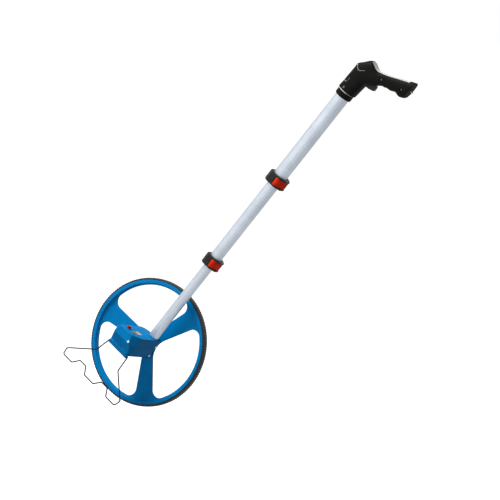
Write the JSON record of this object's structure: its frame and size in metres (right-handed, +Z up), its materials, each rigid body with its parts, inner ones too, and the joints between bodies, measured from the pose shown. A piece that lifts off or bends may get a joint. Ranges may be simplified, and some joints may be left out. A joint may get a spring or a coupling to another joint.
{
  "type": "measuring wheel",
  "caption": "Walking distance-measuring wheel with a spoked wheel, geared number counter, telescopic tube with lever clamps, pistol grip with brake trigger and folding wire stand.",
  "frame": {"origin": "on the floor, under the middle of the object's own box, as it stands on tyre and stand", "axes": "+Z up, +X towards the grip's end, +Y from the counter housing to the wheel; the tube leans towards -Y"},
  "size_m": [0.3184, 0.2736, 1.0894],
  "materials": {
    "blue_plastic": "glossy moulded blue",
    "black_plastic": "fine satin grain",
    "tyre_rubber": "matt black rubber with cross ribs",
    "red_plastic": "satin red",
    "pale_plastic": "satin pale grey",
    "tube_aluminium": "anodised, drawn lengthwise",
    "bright_steel": "bright zinc plate",
    "sheet_steel": "zinc plate",
    "clear_plastic": "clear moulded"
  },
  "bodies": {
    "frame": {"housing_base": "blue_plastic", "housing_cover": "blue_plastic", "counter_window": "clear_plastic", "counter_frame": "sheet_steel", "drum_shaft": "bright_steel", "carry_pinion_shaft": "bright_steel", "axle_bracket": "sheet_steel", "axle": "bright_steel", "axle_nut": "bright_steel", "lower_tube": "tube_aluminium", "lower_bush": "black_plastic", "tube_bolt": "bright_steel", "brake_pin": "bright_steel", "side_screw_1": "bright_steel", "side_screw_2": "bright_steel", "front_screw": "bright_steel"},
    "wheel": {"wheel_disc": "blue_plastic", "tyre": "tyre_rubber", "hub_sleeve": "bright_steel", "drive_gear": "pale_plastic", "wheel_bearing_rear": "bright_steel", "wheel_bearing_inner": "bright_steel", "hub_cap": "black_plastic"},
    "layshaft": {"counter_layshaft": "pale_plastic"},
    "reset": {"reset_button": "red_plastic"},
    "stand": {"kickstand": "bright_steel"},
    "brake": {"brake_arm": "sheet_steel", "brake_pad": "tyre_rubber"},
    "middle": {"middle_tube": "tube_aluminium", "middle_bush": "black_plastic", "lower_clamp": "black_plastic", "lower_lever_pin": "bright_steel"},
    "lever_low": {"lower_lever": "red_plastic"},
    "upper": {"upper_tube": "tube_aluminium", "upper_clamp": "black_plastic", "upper_lever_pin": "bright_steel", "handle_collar": "black_plastic", "handle_left": "black_plastic", "handle_right": "black_plastic", "back_strap": "pale_plastic", "lanyard_loop": "bright_steel", "handle_screw_1": "bright_steel", "handle_screw_2": "bright_steel", "handle_screw_3": "bright_steel", "trigger_pin": "bright_steel"},
    "lever_high": {"upper_lever": "red_plastic"},
    "trigger_body": {"trigger": "black_plastic"},
    "drum_1": {"number_drum_1": "black_plastic"},
    "drum_2": {"number_drum_2": "black_plastic"},
    "drum_3": {"number_drum_3": "black_plastic"},
    "drum_4": {"number_drum_4": "black_plastic"},
    "drum_5": {"number_drum_5": "black_plastic"},
    "carry_1": {"carry_pinion_1": "pale_plastic"},
    "carry_2": {"carry_pinion_2": "pale_plastic"},
    "carry_3": {"carry_pinion_3": "pale_plastic"},
    "carry_4": {"carry_pinion_4": "pale_plastic"}
  },
  "joints": [
    {"name": "wheel_spin", "type": "hinge", "parent": "frame", "child": "wheel", "pos_m": [0, 0.09687, 0.15734], "axis": [0, 0.9807, 0.1953], "continuous": true},
    {"name": "layshaft_spin", "type": "hinge", "parent": "frame", "child": "layshaft", "pos_m": [-0.01238, 0.09489, 0.16728], "axis": [0, 0.9807, 0.1953], "continuous": true},
    {"name": "drum_1_spin", "type": "hinge", "parent": "frame", "child": "drum_1", "pos_m": [0.003, 0.01115, 0.15511], "axis": [0, 0.9807, 0.1953], "continuous": true},
    {"name": "drum_2_spin", "type": "hinge", "parent": "frame", "child": "drum_2", "pos_m": [0.003, 0.00409, 0.15371], "axis": [0, 0.9807, 0.1953], "continuous": true},
    {"name": "drum_3_spin", "type": "hinge", "parent": "frame", "child": "drum_3", "pos_m": [0.003, -0.00297, 0.1523], "axis": [0, 0.9807, 0.1953], "continuous": true},
    {"name": "drum_4_spin", "type": "hinge", "parent": "frame", "child": "drum_4", "pos_m": [0.003, -0.01003, 0.15089], "axis": [0, 0.9807, 0.1953], "continuous": true},
    {"name": "drum_5_spin", "type": "hinge", "parent": "frame", "child": "drum_5", "pos_m": [0.003, -0.0171, 0.14949], "axis": [0, 0.9807, 0.1953], "continuous": true},
    {"name": "carry_1_spin", "type": "hinge", "parent": "frame", "child": "carry_1", "pos_m": [0.003, 0.00758, 0.14283], "axis": [0, 0.9807, 0.1953], "continuous": true},
    {"name": "carry_2_spin", "type": "hinge", "parent": "frame", "child": "carry_2", "pos_m": [0.003, 0.00052, 0.14142], "axis": [0, 0.9807, 0.1953], "continuous": true},
    {"name": "carry_3_spin", "type": "hinge", "parent": "frame", "child": "carry_3", "pos_m": [0.003, -0.00654, 0.14002], "axis": [0, 0.9807, 0.1953], "continuous": true},
    {"name": "carry_4_spin", "type": "hinge", "parent": "frame", "child": "carry_4", "pos_m": [0.003, -0.0136, 0.13861], "axis": [0, 0.9807, 0.1953], "continuous": true},
    {"name": "reset_press", "type": "slide", "parent": "frame", "child": "reset", "axis": [0.1167, 0.1939, -0.974], "range_m": [0, 0.0025], "stiffness_N_per_m": 400, "springref_m": -0.002},
    {"name": "stand_fold", "type": "hinge", "parent": "frame", "child": "stand", "pos_m": [-0.0005, -0.01759, 0.10743], "axis": [1, 0, 0], "range_deg": [0, 100]},
    {"name": "middle_slide", "type": "slide", "parent": "frame", "child": "middle", "axis": [0, -0.1953, 0.9807], "range_m": [-0.21, 0]},
    {"name": "upper_slide", "type": "slide", "parent": "middle", "child": "upper", "axis": [0, -0.1953, 0.9807], "range_m": [-0.215, 0]},
    {"name": "lower_lever_swing", "type": "hinge", "parent": "middle", "child": "lever_low", "pos_m": [0.03732, 0.0121, 0.40618], "axis": [0, -0.1953, 0.9807], "range_deg": [0, 100]},
    {"name": "upper_lever_swing", "type": "hinge", "parent": "upper", "child": "lever_high", "pos_m": [0.04031, -0.03919, 0.66515], "axis": [0, -0.1953, 0.9807], "range_deg": [0, 100]},
    {"name": "trigger_pull", "type": "hinge", "parent": "upper", "child": "trigger_body", "pos_m": [0.0425, -0.11041, 1.01192], "axis": [0, -0.9807, -0.1953], "range_deg": [0, 11], "stiffness_Nm_per_rad": 0.5, "springref_deg": -17.19},
    {"name": "brake_swing", "type": "hinge", "parent": "frame", "child": "brake", "pos_m": [-0.025, 0.10042, 0.13949], "axis": [0, -0.9807, -0.1953], "range_deg": [0, 2]}
  ],
  "couplings": [
    {"joint": "layshaft_spin", "follows": "wheel_spin", "ratio": -1.2857},
    {"joint": "drum_1_spin", "follows": "wheel_spin", "ratio": 1},
    {"joint": "drum_2_spin", "follows": "wheel_spin", "ratio": 0.1},
    {"joint": "drum_3_spin", "follows": "wheel_spin", "ratio": 0.01},
    {"joint": "drum_4_spin", "follows": "wheel_spin", "ratio": 0.001},
    {"joint": "drum_5_spin", "follows": "wheel_spin", "ratio": 0.0001},
    {"joint": "carry_1_spin", "follows": "wheel_spin", "ratio": -0.25},
    {"joint": "carry_2_spin", "follows": "wheel_spin", "ratio": -0.025},
    {"joint": "carry_3_spin", "follows": "wheel_spin", "ratio": -0.0025},
    {"joint": "carry_4_spin", "follows": "wheel_spin", "ratio": -0.00025},
    {"joint": "brake_swing", "follows": "trigger_pull", "ratio": 0.15}
  ]
}
